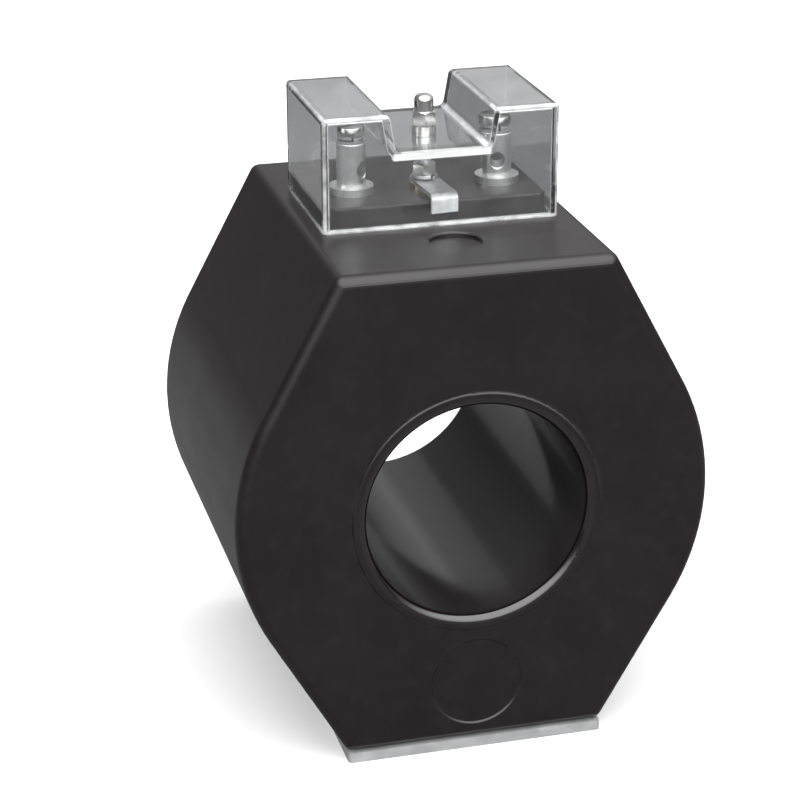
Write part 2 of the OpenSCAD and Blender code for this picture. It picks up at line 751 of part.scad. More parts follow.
module base_plate() {
    hole_r = plate_screw_d / 2 + CAST_GAP;
    sink_r = plate_head_d / 2 + CAST_GAP;
    color(STEEL) difference() {
        round_box(bottom_flat_w, casting_len, plate_t, plate_corner_r);
        four_corners(mount_spacing_x, mount_spacing_y)
            translate([0, 0, -OVER]) cylinder(d = mount_hole_d, h = plate_t + 2 * OVER);
        four_corners(plate_screw_spacing_x, plate_screw_spacing_y) {
            translate([0, 0, -OVER]) cylinder(r = hole_r, h = plate_t + 2 * OVER);
            translate([0, 0, SINK_DEPTH]) cylinder(r1 = sink_r, r2 = hole_r, h = sink_r - hole_r);
            translate([0, 0, -OVER]) cylinder(r = sink_r, h = SINK_DEPTH + OVER);
        }
    }
}

module base_screws() {
    screw_r = plate_screw_d / 2;
    head_r = plate_head_d / 2;
    color(STEEL) four_corners(plate_screw_spacing_x, plate_screw_spacing_y)
        translate([0, 0, SINK_DEPTH]) difference() {
            union() {
                cylinder(r1 = head_r, r2 = screw_r, h = head_r - screw_r);
                cylinder(r = screw_r, h = plate_screw_len);
            }
            translate([0, 0, -OVER]) cylinder(d = socket_d, h = OVER + socket_depth, $fn = 6);
        }
}

module base_inserts() {
    color(BRASS) four_corners(plate_screw_spacing_x, plate_screw_spacing_y)
        translate([0, 0, casting_bottom])
            ring(plate_insert_d, plate_screw_d / 2 + THREAD_GAP, plate_insert_len);
}

resin_body();
ring_core();
core_insulation();
secondary_winding();
winding_wrap();
lead_left();
lead_right();
terminal_post_left();
terminal_post_right();
clamp_screw_left();
clamp_screw_right();
clamp_washer_left();
clamp_washer_right();
clamp_spring_left();
clamp_spring_right();
stud_insert();
centre_stud();
link_strap();
link_spring();
link_nut();
terminal_cover();
seal_collar();
sealing_nut();
base_plate();
base_screws();
base_inserts();
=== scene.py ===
"""Looks of a window-type current transformer: satin cast resin round a glossy window, nickel-plated
terminals under a clear cover, and a zinc-plated base plate. Metres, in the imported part's frame.

Six CAD nodes give way to pieces with more detail: threads, slots and split spring washers. The room
looks white to the camera, and is a grey one with a bright ceiling to everything that mirrors it."""

import json
import math

import bmesh
import bpy
from mathutils import Matrix, Vector


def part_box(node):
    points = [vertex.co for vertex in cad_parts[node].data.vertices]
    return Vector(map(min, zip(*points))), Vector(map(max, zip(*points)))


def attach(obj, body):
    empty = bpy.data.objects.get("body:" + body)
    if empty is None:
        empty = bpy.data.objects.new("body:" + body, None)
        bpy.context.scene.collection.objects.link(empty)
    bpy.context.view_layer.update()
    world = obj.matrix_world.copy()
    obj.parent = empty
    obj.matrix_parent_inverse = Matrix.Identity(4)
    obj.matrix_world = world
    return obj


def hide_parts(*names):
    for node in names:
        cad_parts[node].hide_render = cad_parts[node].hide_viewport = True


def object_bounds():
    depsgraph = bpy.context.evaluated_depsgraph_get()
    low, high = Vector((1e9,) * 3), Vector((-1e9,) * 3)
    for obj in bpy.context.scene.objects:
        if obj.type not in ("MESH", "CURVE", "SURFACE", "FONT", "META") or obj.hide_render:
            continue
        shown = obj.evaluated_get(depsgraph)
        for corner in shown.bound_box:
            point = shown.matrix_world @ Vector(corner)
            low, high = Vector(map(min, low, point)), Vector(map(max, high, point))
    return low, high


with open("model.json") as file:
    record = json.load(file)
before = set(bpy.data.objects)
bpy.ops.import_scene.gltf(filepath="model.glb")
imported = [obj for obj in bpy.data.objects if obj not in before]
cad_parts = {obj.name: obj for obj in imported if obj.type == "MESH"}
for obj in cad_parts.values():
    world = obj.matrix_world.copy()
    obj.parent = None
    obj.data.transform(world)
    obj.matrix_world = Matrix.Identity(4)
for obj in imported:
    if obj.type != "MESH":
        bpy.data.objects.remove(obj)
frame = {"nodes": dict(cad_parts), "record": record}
cad_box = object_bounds()
nodes = frame["nodes"]
mounts = {mount["name"]: mount for mount in frame["record"]["mounts"]}

MM = 0.001
# Facets of a round face: the most they turn from the true cylinder, how deep they cut into it, and
# how far about that depth a point still counts as lying on one
FACET_COSINE = 0.9985
FACET_SAG = 0.1 * MM
FACET_REACH = 1.05 * FACET_SAG
# Edges are found by rounding the normals: rays used, and the turn that counts as fully an edge
EDGE_SAMPLES = 6
EDGE_COSINE = 0.85

# ---------- node helpers ----------


class Finish:
    """A procedural material. Sizes are in metres, in the object's own coordinates."""

    def __init__(self, name):
        self.material = bpy.data.materials.new(name)
        self.material.use_nodes = True
        self.tree = self.material.node_tree
        self.shader = self.tree.nodes["Principled BSDF"]
        self.output = self.tree.nodes["Material Output"]
        self.place = self.add("ShaderNodeTexCoord").outputs["Object"]

    def add(self, kind, **settings):
        node = self.tree.nodes.new(kind)
        for key, value in settings.items():
            setattr(node, key, value)
        return node

    def feed(self, socket, value):
        if isinstance(value, bpy.types.NodeSocket):
            self.tree.links.new(value, socket)
        else:
            socket.default_value = value

    def set(self, **values):
        """Sets the shader's sockets, whose names are given with underscores for spaces."""
        for key, value in values.items():
            self.feed(self.shader.inputs[key.replace("_", " ")], value)

    def math(self, operation, a, b=0.0, c=0.0):
        node = self.add("ShaderNodeMath", operation=operation)
        for socket, value in zip(node.inputs, (a, b, c)):
            self.feed(socket, value)
        return node.outputs[0]

    def both(self, a, b):
        """The product of two shares."""
        return self.math("MULTIPLY", a, b)

    def either(self, a, b):
        """The greater of two shares."""
        return self.math("MAXIMUM", a, b)

    def distance(self, a, b):
        """The length of the hypotenuse over two sides."""
        return self.math("SQRT", self.math("ADD", self.both(a, a), self.both(b, b)))

    def dot(self, a, b):
        node = self.add("ShaderNodeVectorMath", operation="DOT_PRODUCT")
        self.feed(node.inputs[0], a)
        self.feed(node.inputs[1], b)
        return node.outputs["Value"]

    def true_normal(self):
        return self.add("ShaderNodeNewGeometry").outputs["Normal"]

    def ramp(self, value, low, high, to_low=0.0, to_high=1.0):
        node = self.add("ShaderNodeMapRange", interpolation_type="SMOOTHSTEP")
        for socket, given in zip(node.inputs, (value, low, high, to_low, to_high)):
            self.feed(socket, given)
        return node.outputs[0]

    def stretched(self, stretch):
        node = self.add("ShaderNodeMapping")
        self.feed(node.inputs["Vector"], self.place)
        node.inputs["Scale"].default_value = stretch
        return node.outputs[0]

    def noise(self, size, detail=3.0, stretch=(1, 1, 1), roughness=0.5):
        node = self.add("ShaderNodeTexNoise")
        self.feed(node.inputs["Vector"], self.stretched(stretch))
        node.inputs["Scale"].default_value = 1 / size
        node.inputs["Detail"].default_value = detail
        node.inputs["Roughness"].default_value = roughness
        return node.outputs[0]

    def specks(self, size):
        """Distance to the nearest of many points scattered about size apart, as a share of size."""
        node = self.add("ShaderNodeTexVoronoi", feature="F1")
        self.feed(node.inputs["Vector"], self.place)
        node.inputs["Scale"].default_value = 1 / size
        return node.outputs["Distance"]

    def blend(self, share, first, second):
        node = self.add("ShaderNodeMix", data_type="RGBA")
        self.feed(node.inputs[0], share)
        self.feed(node.inputs[6], first)
        self.feed(node.inputs[7], second)
        return node.outputs[2]

    def bump(self, height, depth, below=None):
        """A relief of the given depth in metres over an earlier one."""
        node = self.add("ShaderNodeBump")
        node.inputs["Strength"].default_value = 1.0
        node.inputs["Distance"].default_value = depth
        self.feed(node.inputs["Height"], height)
        if below is not None:
            self.feed(node.inputs["Normal"], below)
        return node.outputs[0]

    def edges(self, radius):
        """About 1 along the outer and inner edges of a solid and 0 on its flats."""
        rounded = self.add("ShaderNodeBevel", samples=EDGE_SAMPLES)
        rounded.inputs["Radius"].default_value = radius
        return self.ramp(self.dot(rounded.outputs[0], self.true_normal()), 1.0, EDGE_COSINE)

    def roundings(self, flattest, steepest):
        """0 where the surface faces along an axis, and 1 where it is turned well away from all three."""
        split = self.add("ShaderNodeSeparateXYZ")
        normal = self.add("ShaderNodeTexCoord").outputs["Normal"]
        self.feed(split.inputs[0], normal)
        x, y, z = (self.math("ABSOLUTE", part) for part in split.outputs)
        return self.ramp(self.either(x, self.either(y, z)), flattest, steepest)

    def turned_smooth(self, axis_z, radii):
        """The surface normal, truly round on the cylinders of those radii about the Y axis at axis_z.

        Also gives the distance from that axis.
        """
        x, _, z = self.axes()
        up = self.math("SUBTRACT", z, axis_z)
        r = self.distance(x, up)
        outward = self.add("ShaderNodeCombineXYZ")
        self.feed(outward.inputs[0], self.math("DIVIDE", x, r))
        self.feed(outward.inputs[2], self.math("DIVIDE", up, r))
        plain = self.true_normal()
        facing = self.dot(outward.outputs[0], plain)
        along = self.math("GREATER_THAN", self.math("ABSOLUTE", facing), FACET_COSINE)
        near = 0.0
        for radius in radii:
            near = self.either(near, self.math("COMPARE", r, radius - FACET_SAG, FACET_REACH))
        signed = self.add("ShaderNodeVectorMath", operation="SCALE")
        self.feed(signed.inputs[0], outward.outputs[0])
        self.feed(signed.inputs["Scale"], self.math("SIGN", facing))
        node = self.add("ShaderNodeMix", data_type="VECTOR")
        self.feed(node.inputs[0], self.both(along, near))
        self.feed(node.inputs[4], plain)
        self.feed(node.inputs[5], signed.outputs[0])
        return node.outputs[1], r

    def axes(self):
        node = self.add("ShaderNodeSeparateXYZ")
        self.feed(node.inputs[0], self.place)
        return node.outputs

    def choose(self, ray, otherwise, shader):
        """Ends the material in one shader for that kind of ray, and in another for the rest."""
        mix = self.add("ShaderNodeMixShader")
        self.feed(mix.inputs[0], self.add("ShaderNodeLightPath").outputs[ray])
        self.feed(mix.inputs[1], otherwise)
        self.feed(mix.inputs[2], shader)
        self.feed(self.output.inputs["Surface"], mix.outputs[0])


# ---------- camera and room ----------

CAMERA_AT = Vector((-0.2231, -0.8123, 0.4446))
CAMERA_YAW = math.radians(14.753)
CAMERA_PITCH = math.radians(-21.777)
CAMERA_ROLL = math.radians(-0.222)
LENS_MM = 109.08
SENSOR_MM = 36.0

FLOOR_REACH = 6.0
# What the object mirrors: a dark horizon, a backdrop that grows lighter to the right, and a bright
# ceiling a little in front. Backdrop stops: share of the way across its span of X, and grey
HORIZON_GREY = (0.13, 0.13, 0.132, 1.0)
BACKDROP_SPAN = (-0.3, 0.45)
BACKDROP_STOPS = (
    (0.0, 0.26), (0.18, 0.28), (0.25, 0.54), (0.52, 0.62), (0.66, 0.6), (0.8, 0.9), (0.9, 0.74),
)
BACKDROP_HEIGHT = (0.04, 0.38)
CEILING_WHITE = (1.0, 1.0, 1.0, 1.0)
CEILING_GLOW = 4.2
CEILING_MIDDLE = (0.0, -0.574, 0.819)
CEILING_COSINES = (0.4, 0.85)
BACKGROUND_WHITE = (1.0, 1.0, 1.0, 1.0)
# The floor as the camera sees it, and as it is mirrored: grey all round and darker far away, with a
# lighter patch behind the object
FLOOR_WHITE = (0.68, 0.68, 0.68, 1.0)
FLOOR_GLOW = 0.12
FLOOR_NEAR = (0.14, 0.14, 0.142, 1.0)
FLOOR_FAR = (0.06, 0.06, 0.061, 1.0)
FLOOR_BEHIND = (0.18, 0.18, 0.182, 1.0)
FLOOR_FADE = (0.6, 1.6)
PATCH_MIDDLE = (0.16, 0.6)
PATCH_FADE = (0.45, 0.2)
# The lamp
LAMP_AT = (-1.4, -0.25, 0.55)
LAMP_AIM = (0, 0, 0.12)
LAMP_SIZE = (0.5, 0.8)
LAMP_WATTS = 6


def add_object(name, data):
    made = bpy.data.objects.new(name, data)
    bpy.context.scene.collection.objects.link(made)
    return made


def aim(obj, forward, roll=0.0):
    """Turns a camera or lamp so that it looks along forward, with Z up and then rolled."""
    side = forward.cross(Vector((0, 0, 1))).normalized()
    up = side.cross(forward)
    turned_side = side * math.cos(roll) + up * math.sin(roll)
    turned_up = up * math.cos(roll) - side * math.sin(roll)
    obj.rotation_mode = "QUATERNION"
    obj.rotation_quaternion = Matrix((turned_side, turned_up, -forward)).transposed().to_quaternion()


def make_camera():
    data = bpy.data.cameras.new("camera")
    data.lens = LENS_MM
    data.sensor_width = SENSOR_MM
    camera = add_object("camera", data)
    camera.location = CAMERA_AT
    flat = math.cos(CAMERA_PITCH)
    forward = Vector((math.sin(CAMERA_YAW) * flat, math.cos(CAMERA_YAW) * flat, math.sin(CAMERA_PITCH)))
    aim(camera, forward, CAMERA_ROLL)
    bpy.context.scene.camera = camera


def make_softbox():
    data = bpy.data.lights.new("left", "AREA")
    data.shape = "RECTANGLE"
    data.size, data.size_y = LAMP_SIZE
    data.energy = LAMP_WATTS
    lamp = add_object("left", data)
    lamp.location = LAMP_AT
    aim(lamp, (Vector(LAMP_AIM) - Vector(LAMP_AT)).normalized())
    # It lights the object, but no flat face mirrors it at a grazing angle
    lamp.visible_glossy = False


def make_surround():
    """A grey room under a bright ceiling. Where the camera looks past the floor it is white."""
    world = bpy.data.worlds.new("studio")
    bpy.context.scene.world = world
    world.use_nodes = True
    tree = world.node_tree

    def add(kind, span=None, **settings):
        node = tree.nodes.new(kind)
        for key, value in settings.items():
            setattr(node, key, value)
        if span:
            node.inputs["From Min"].default_value, node.inputs["From Max"].default_value = span
        return node

    place = add("ShaderNodeTexCoord")
    split = add("ShaderNodeSeparateXYZ")
    sideways = add("ShaderNodeMapRange", BACKDROP_SPAN)
    backdrop = add("ShaderNodeValToRGB")
    stops = backdrop.color_ramp.elements
    while len(stops) < len(BACKDROP_STOPS):
        stops.new(0.5)
    for stop, (position, grey) in zip(stops, BACKDROP_STOPS):
        stop.position, stop.color = position, (grey, grey, grey, 1.0)
    height = add("ShaderNodeMapRange", BACKDROP_HEIGHT)
    horizon = add("ShaderNodeMix", data_type="RGBA")
    horizon.inputs[6].default_value = HORIZON_GREY
    walls = tree.nodes["Background"]

    ceiling = add("ShaderNodeBackground")
    ceiling.inputs["Color"].default_value = CEILING_WHITE
    ceiling.inputs["Strength"].default_value = CEILING_GLOW
    towards = add("ShaderNodeVectorMath", operation="DOT_PRODUCT")
    towards.inputs[1].default_value = CEILING_MIDDLE
    share = add("ShaderNodeMapRange", CEILING_COSINES, interpolation_type="SMOOTHSTEP")
    lit = add("ShaderNodeMixShader")

    white = add("ShaderNodeBackground")
    white.inputs["Color"].default_value = BACKGROUND_WHITE
    path = add("ShaderNodeLightPath")
    mix = add("ShaderNodeMixShader")
    links = (
        (place.outputs["Generated"], split.inputs[0]),
        (split.outputs["Z"], height.inputs["Value"]),
        (split.outputs["X"], sideways.inputs["Value"]),
        (sideways.outputs[0], backdrop.inputs[0]),
        (height.outputs[0], horizon.inputs[0]),
        (backdrop.outputs["Color"], horizon.inputs[7]),
        (horizon.outputs[2], walls.inputs["Color"]),
        (place.outputs["Generated"], towards.inputs[0]),
        (towards.outputs["Value"], share.inputs["Value"]),
        (share.outputs[0], lit.inputs[0]),
        (walls.outputs[0], lit.inputs[1]),
        (ceiling.outputs[0], lit.inputs[2]),
        (path.outputs["Is Camera Ray"], mix.inputs[0]),
        (lit.outputs[0], mix.inputs[1]),
        (white.outputs[0], mix.inputs[2]),
        (mix.outputs[0], tree.nodes["World Output"].inputs["Surface"]),
    )
    for start, end in links:
        tree.links.new(start, end)


def make_floor():
    """White paper to the camera, and a grey bench, lighter behind the object, to what mirrors it."""
    grid = bmesh.new()
    bmesh.ops.create_grid(grid, x_segments=2, y_segments=2, size=FLOOR_REACH)
    data = bpy.data.meshes.new("floor")
    grid.to_mesh(data)
    grid.free()
    floor = add_object("floor", data)
    floor.location.z = cad_box[0][2]
    f = Finish("floor_paper")
    f.set(Base_Color=FLOOR_WHITE, Roughness=0.9, Specular_IOR_Level=0.1)
    f.set(Emission_Color=FLOOR_WHITE, Emission_Strength=FLOOR_GLOW)
    x, y, _ = f.axes()
    from_patch = f.distance(f.math("SUBTRACT", x, PATCH_MIDDLE[0]), f.math("SUBTRACT", y, PATCH_MIDDLE[1]))
    ground = f.blend(f.ramp(f.distance(x, y), *FLOOR_FADE), FLOOR_NEAR, FLOOR_FAR)
    mirrored = f.add("ShaderNodeBsdfDiffuse")
    f.feed(mirrored.inputs["Color"], f.blend(f.ramp(from_patch, *PATCH_FADE), ground, FLOOR_BEHIND))
    f.choose("Is Camera Ray", mirrored.outputs[0], f.shader.outputs[0])
    data.materials.append(f.material)


def make_room():
    make_surround()
    make_floor()
    make_softbox()
    bpy.context.scene.view_settings.view_transform = "Standard"


# ---------- finishes ----------


def cast_resin():
    """Near-black filled resin: satin with a faint mottle, and polished in the window and its mouths."""
    window = mounts["window"]
    window_r = window["dims"]["r_mm"] * MM
    barrel_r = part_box("resin_body")[1].x
    f = Finish("cast_resin")
    smooth, from_axis = f.turned_smooth(window["pos_m"][2], (window_r, barrel_r))
    in_window = f.ramp(from_axis, window_r + 3.3 * MM, window_r + 2.9 * MM)
    on_mouth = f.both(in_window, f.ramp(from_axis, window_r + 0.03 * MM, window_r + 0.15 * MM))
    on_wall = f.both(in_window, f.math("SUBTRACT", 1.0, on_mouth))

    mottle = f.noise(34 * MM, 5, roughness=0.6)
    streaks = f.noise(9 * MM, 4, stretch=(1, 0.12, 1))
    dust = f.noise(5 * MM, 4)
    grain = f.noise(1.1 * MM, 2)
    wear = f.both(f.edges(1.6 * MM), f.ramp(f.noise(7 * MM, 5), 0.35, 0.7))
    dark = f.blend(f.ramp(mottle, 0.3, 0.7), (0.004, 0.0023, 0.0026, 1), (0.0053, 0.0034, 0.0038, 1))
    dusty = f.blend(f.ramp(dust, 0.45, 0.8, 0, 0.2), dark, (0.016, 0.0145, 0.0147, 1))
    worn = f.blend(f.both(wear, 0.4), dusty, (0.04, 0.037, 0.037, 1))
    f.set(Base_Color=f.blend(on_wall, worn, (0.0125, 0.0108, 0.011, 1)))

    satin = f.math("ADD", f.ramp(mottle, 0.25, 0.75, 0.3, 0.35), f.ramp(streaks, 0.3, 0.7, -0.01, 0.02))
    polish = f.ramp(streaks, 0.3, 0.7, 0.12, 0.18)
    rough = f.add("ShaderNodeMix")
    f.feed(rough.inputs[0], in_window)
    f.feed(rough.inputs[2], satin)
    f.feed(rough.inputs[3], polish)
    f.set(Roughness=rough.outputs[0], Specular_IOR_Level=0.5)
    f.set(Coat_Weight=on_mouth, Coat_IOR=1.42, Coat_Roughness=0.06)

    slow = f.bump(f.noise(26 * MM, 2), 0.12 * MM, smooth)
    f.set(Normal=f.bump(grain, 0.006 * MM, slow))
    return f.material


# The cover's painted highlight: how white it makes the edges from back to front, the depth over which that
# changes, and how white it makes the valley floor's front edge, which is seen end-on and lies between these
# half widths
EDGE_HIGHLIGHT = (0.3, 0.58)
EDGE_HIGHLIGHT_FROM = (14 * MM, 2 * MM)
BROW_HIGHLIGHT = 0.66
BROW_HALF_WIDTHS = (18.5 * MM, 17 * MM)
COVER_IOR = 1.49


def clear_plastic():
    """Clear moulded plastic with a painted highlight along its edges and foot, and dusty on its humps."""
    f = Finish("clear_cover")
    x, y, z = f.axes()
    low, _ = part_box("terminal_cover")
    valley_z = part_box("seal_collar")[0].z
    scuffs = f.noise(5 * MM, 4, roughness=0.6)
    clouds = f.ramp(f.noise(19 * MM, 4), 0.3, 0.7)
    patches = f.ramp(f.noise(8 * MM, 3), 0.3, 0.65, 0.4, 1.0)

    # Painted highlight: the edges, the foot and the valley floor's front edge are whitened and made less
    # clear in place of the light they catch, more so towards the front
    rounded = f.roundings(0.975, 0.8)
    sharp = f.edges(0.8 * MM)
    rim = f.ramp(z, low.z + 1.6 * MM, low.z + 0.8 * MM)
    line = f.either(f.either(rim, rounded), sharp)
    back, front = EDGE_HIGHLIGHT_FROM
    lessening = f.both(f.ramp(y, low.y + back, low.y + front, *EDGE_HIGHLIGHT), patches)
    at_front = f.ramp(y, low.y + 3.0 * MM, low.y + 2.4 * MM)
    from_floor = f.math("ABSOLUTE", f.math("SUBTRACT", z, valley_z - 1.2 * MM))
    in_valley = f.ramp(f.math("ABSOLUTE", x), *BROW_HALF_WIDTHS)
    brow = f.both(f.both(at_front, f.ramp(from_floor, 1.5 * MM, 1.0 * MM)), in_valley)
    edge_highlight = f.either(f.both(line, lessening), f.both(brow, BROW_HIGHLIGHT))

    facing_up = f.add("ShaderNodeSeparateXYZ")
    f.feed(facing_up.inputs[0], f.true_normal())
    on_humps = f.ramp(z, valley_z + 1 * MM, valley_z + 3 * MM, 0.1, 1.0)
    dust = f.both(f.ramp(facing_up.outputs["Z"], 0.9, 0.98), f.ramp(clouds, 0, 1, 0.035, 0.055))
    haze = f.math("ADD", f.ramp(clouds, 0, 1, 0.004, 0.012), f.ramp(scuffs, 0.55, 0.8, 0, 0.02))
    haze = f.math("ADD", haze, f.both(dust, on_humps))
    f.set(
        Base_Color=f.blend(edge_highlight, (0.745, 0.75, 0.755, 1), (0.86, 0.86, 0.86, 1)),
        Roughness=f.ramp(scuffs, 0.4, 0.8, 0.02, 0.08),
        IOR=COVER_IOR,
        Transmission_Weight=f.math("SUBTRACT", 1.0, f.either(edge_highlight, haze)),
        Normal=f.bump(f.noise(16 * MM, 2), 0.02 * MM),
    )
    # What it covers is lit through it
    through = f.add("ShaderNodeBsdfTransparent")
    through.inputs["Color"].default_value = (0.88, 0.9, 0.91, 1)
    f.choose("Is Shadow Ray", f.shader.outputs[0], through.outputs[0])
    return f.material


def plated_metal(name, bright, darker_tone, gloss, lay, lay_size):
    """Plated metal with machining lay along one direction, dulled in patches, with a painted highlight on
    its edges.
    """
    f = Finish(name)
    tarnish = f.ramp(f.noise(3.2 * MM, 5, roughness=0.65), 0.4, 0.75)
    lines = f.noise(lay_size, 3, stretch=lay)
    pits = f.ramp(f.specks(1.1 * MM), 0.0, 0.16, 1.0, 0.0)
    # Painted highlight: the edges are lightened in the base colour
    edge_highlight = f.edges(0.35 * MM)
    base = f.blend(tarnish, bright, darker_tone)
    lit = f.blend(f.both(edge_highlight, 0.6), base, (0.86, 0.85, 0.82, 1))
    dulled = f.ramp(tarnish, 0, 1, gloss, gloss + 0.12)
    f.set(
        Base_Color=f.blend(f.both(pits, 0.35), lit, (0.2, 0.18, 0.15, 1)),
        Metallic=1.0,
        Roughness=f.math("ADD", dulled, f.ramp(lines, 0.3, 0.7, -0.04, 0.05)),
        Normal=f.bump(pits, -0.01 * MM, f.bump(lines, 0.012 * MM)),
    )
    return f.material


def plate_steel():
    """Zinc-plated sheet: streaked along its length, with grey bloom and a few dark spots."""
    f = Finish("zinc_plate")
    spangle = f.specks(7 * MM)
    streaks = f.noise(1.1 * MM, 4, stretch=(0.06, 1, 1))
    bloom = f.ramp(f.noise(13 * MM, 6, roughness=0.65), 0.42, 0.72)
    spots = f.ramp(f.noise(2.2 * MM, 3), 0.66, 0.74)
    base = f.blend(f.ramp(spangle, 0.2, 0.9), (0.55, 0.555, 0.56, 1), (0.66, 0.665, 0.67, 1))
    base = f.blend(f.both(bloom, 0.55), base, (0.5, 0.5, 0.5, 1))
    f.set(
        Base_Color=f.blend(f.both(spots, 0.5), base, (0.22, 0.2, 0.18, 1)),
        Metallic=0.72,
        Roughness=f.math("ADD", f.ramp(bloom, 0, 1, 0.34, 0.52), f.ramp(streaks, 0.3, 0.7, -0.05, 0.06)),
        Normal=f.bump(streaks, 0.02 * MM),
    )
    return f.material


def tinned_strap():
    """Tinned strap, mottled, darker on top and lighter where it is bent down: painted shade on top and a
    painted highlight on the bends.
    """
    f = Finish("tinned_strap")
    _, _, z = f.axes()
    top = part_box("link_strap")[1].z
    patches = f.ramp(f.noise(2.6 * MM, 3), 0.3, 0.7)
    lines = f.noise(0.9 * MM, 3, stretch=(8, 1, 1))
    # Painted shade and highlight: the same tin is coloured as a shaded top and lit bent-down parts
    bent = f.ramp(z, top - 0.6 * MM, top - 1.8 * MM)
    darker_tone = f.blend(patches, (0.27, 0.27, 0.267, 1), (0.4, 0.4, 0.396, 1))
    bright = f.blend(patches, (0.6, 0.6, 0.595, 1), (0.76, 0.76, 0.752, 1))
    f.set(
        Base_Color=f.blend(bent, darker_tone, bright),
        Metallic=f.ramp(bent, 0, 1, 0.85, 0.4),
        Roughness=f.math("ADD", f.ramp(patches, 0, 1, 0.33, 0.4), f.ramp(lines, 0.3, 0.7, -0.03, 0.03)),
        Normal=f.bump(lines, 0.012 * MM),
    )
    return f.material


# The winding's wires in one layer, and the spacing of the core's strip rings
WIRES_AROUND = 320
STRIP_REPEAT = 0.6 * MM


def wound_copper():
    """Enamelled wire, close wound: fine ridges that run across the ring's section."""
    f = Finish("copper")
    x, _, z = f.axes()
    around = f.math("ARCTAN2", x, f.math("SUBTRACT", z, mounts["window"]["pos_m"][2]))
    ridges = f.math("ABSOLUTE", f.math("SINE", f.both(around, WIRES_AROUND / 2)))
    f.set(
        # Painted shade: the base colour darkens in the grooves between the turns
        Base_Color=f.blend(ridges, (0.35, 0.13, 0.06, 1), (0.72, 0.34, 0.18, 1)),
        Metallic=0.85,
        Roughness=f.ramp(f.noise(4 * MM, 4), 0.3, 0.7, 0.2, 0.34),
        Normal=f.bump(ridges, 0.25 * MM),
    )
    return f.material


def fibrous(name, light, dark, size, roughness, relief):
    """Tape, board or sleeving: two crossed thread directions over a blotched ground."""
    f = Finish(name)
    warp = f.noise(size, 3, stretch=(1, 0.15, 1))
    weft = f.noise(size, 3, stretch=(0.15, 1, 0.15))
    weave = f.math("ADD", f.both(warp, 0.5), f.both(weft, 0.5))
    f.set(
        Base_Color=f.blend(f.ramp(weave, 0.35, 0.65), dark, light),
        Roughness=f.ramp(f.noise(6 * size), 0.3, 0.7, roughness - 0.08, roughness),
        Normal=f.bump(weave, relief),
    )
    return f.material


def strip_steel():
    """Wound electrical steel: its strip edges show as fine rings round the axis."""
    f = Finish("core_steel")
    x, _, z = f.axes()
    up = f.math("SUBTRACT", z, mounts["window"]["pos_m"][2])
    turns = f.math("SINE", f.both(f.distance(x, up), 2 * math.pi / STRIP_REPEAT))
    f.set(
        # Painted shade: the base colour darkens in the grooves between the strips
        Base_Color=f.blend(f.ramp(turns, -1, 1), (0.24, 0.25, 0.27, 1), (0.5, 0.51, 0.53, 1)),
        Metallic=1.0,
        Roughness=f.ramp(f.noise(8 * MM, 4), 0.3, 0.7, 0.3, 0.45),
        Normal=f.bump(turns, 0.03 * MM),
    )
    return f.material


# Lay stretches the machining lines along one direction
TURNED = (1, 1, 9)
DRAWN = (1, 0.08, 1)
# Finish: bright colour, dull colour, roughness where bright, lay, distance between lines
PLATED = {
    "nickel": ((0.8, 0.795, 0.78, 1), (0.5, 0.495, 0.48, 1), 0.1, TURNED, 1.4 * MM),
    "satin_nickel": ((0.78, 0.78, 0.77, 1), (0.6, 0.6, 0.59, 1), 0.32, TURNED, 1.4 * MM),
    "zinc_steel": ((0.76, 0.77, 0.78, 1), (0.5, 0.5, 0.5, 1), 0.31, DRAWN, 0.6 * MM),
    "brass": ((0.78, 0.6, 0.3, 1), (0.5, 0.36, 0.16, 1), 0.1, TURNED, 1.2 * MM),
}
# Finish: light colour, dark colour, thread size, roughness, relief
FIBROUS = {
    "pressboard": ((0.55, 0.4, 0.22, 1), (0.36, 0.24, 0.12, 1), 1.2 * MM, 0.65, 0.05 * MM),
    "tape": ((0.78, 0.74, 0.62, 1), (0.55, 0.5, 0.38, 1), 0.8 * MM, 0.9, 0.12 * MM),
    "lead_sleeve": ((0.5, 0.06, 0.05, 1), (0.3, 0.03, 0.03, 1), 0.5 * MM, 0.6, 0.05 * MM),
}


def make_finishes():
    made = {
        "cast_resin": cast_resin(),
        "core_steel": strip_steel(),
        "copper": wound_copper(),
        "zinc_plate": plate_steel(),
        "clear_cover": clear_plastic(),
        "tinned_strap": tinned_strap(),
    }
    made.update({name: plated_metal(name, *values) for name, values in PLATED.items()})
    made.update({name: fibrous(name, *values) for name, values in FIBROUS.items()})
    return made


# Nodes whose finish differs a little from the rest of their slot
OWN_FINISH = {
    "link_strap": "tinned_strap",
    "terminal_post_left": "satin_nickel",
    "terminal_post_right": "satin_nickel",
}


def paint_nodes(finishes):
    for part in frame["record"]["subparts"]:
        node, slot = part["node"], part["material_slot"]
        data = nodes[node].data
        data.materials.clear()
        data.materials.append(finishes[OWN_FINISH.get(node, slot)])


# ---------- threads and spring washers ----------

AROUND = 48
SHARP_ANGLE = math.radians(32)
# M5 thread. Crest and root are shares of the pitch
THREAD_R = 2.5 * MM
THREAD_PITCH = 0.8 * MM
THREAD_DEPTH = 0.49 * MM
THREAD_CREST = 0.125
THREAD_ROOT = 0.25
ROWS_PER_PITCH = 6
END_CHAMFER = 0.5 * MM
# Screw heads
HEAD_CHAMFER = 0.15 * MM
SLOT_WIDTH = 1.2 * MM
SLOT_DEPTH = 1.7 * MM
SLOT_TURNS = {"left": 20, "right": -35}
# Spring washers
SPRING_WIRE = 1.15 * MM
SPRING_CHAMFER = 0.15 * MM
SPRING_SWEEP = math.radians(348)
SPRING_STEPS = 72
CLEAR_OF_THREAD = 0.1 * MM
LINK_SPRING_SPLIT = math.radians(-70)
CLAMP_SPRING_SPLIT = math.radians(-95)


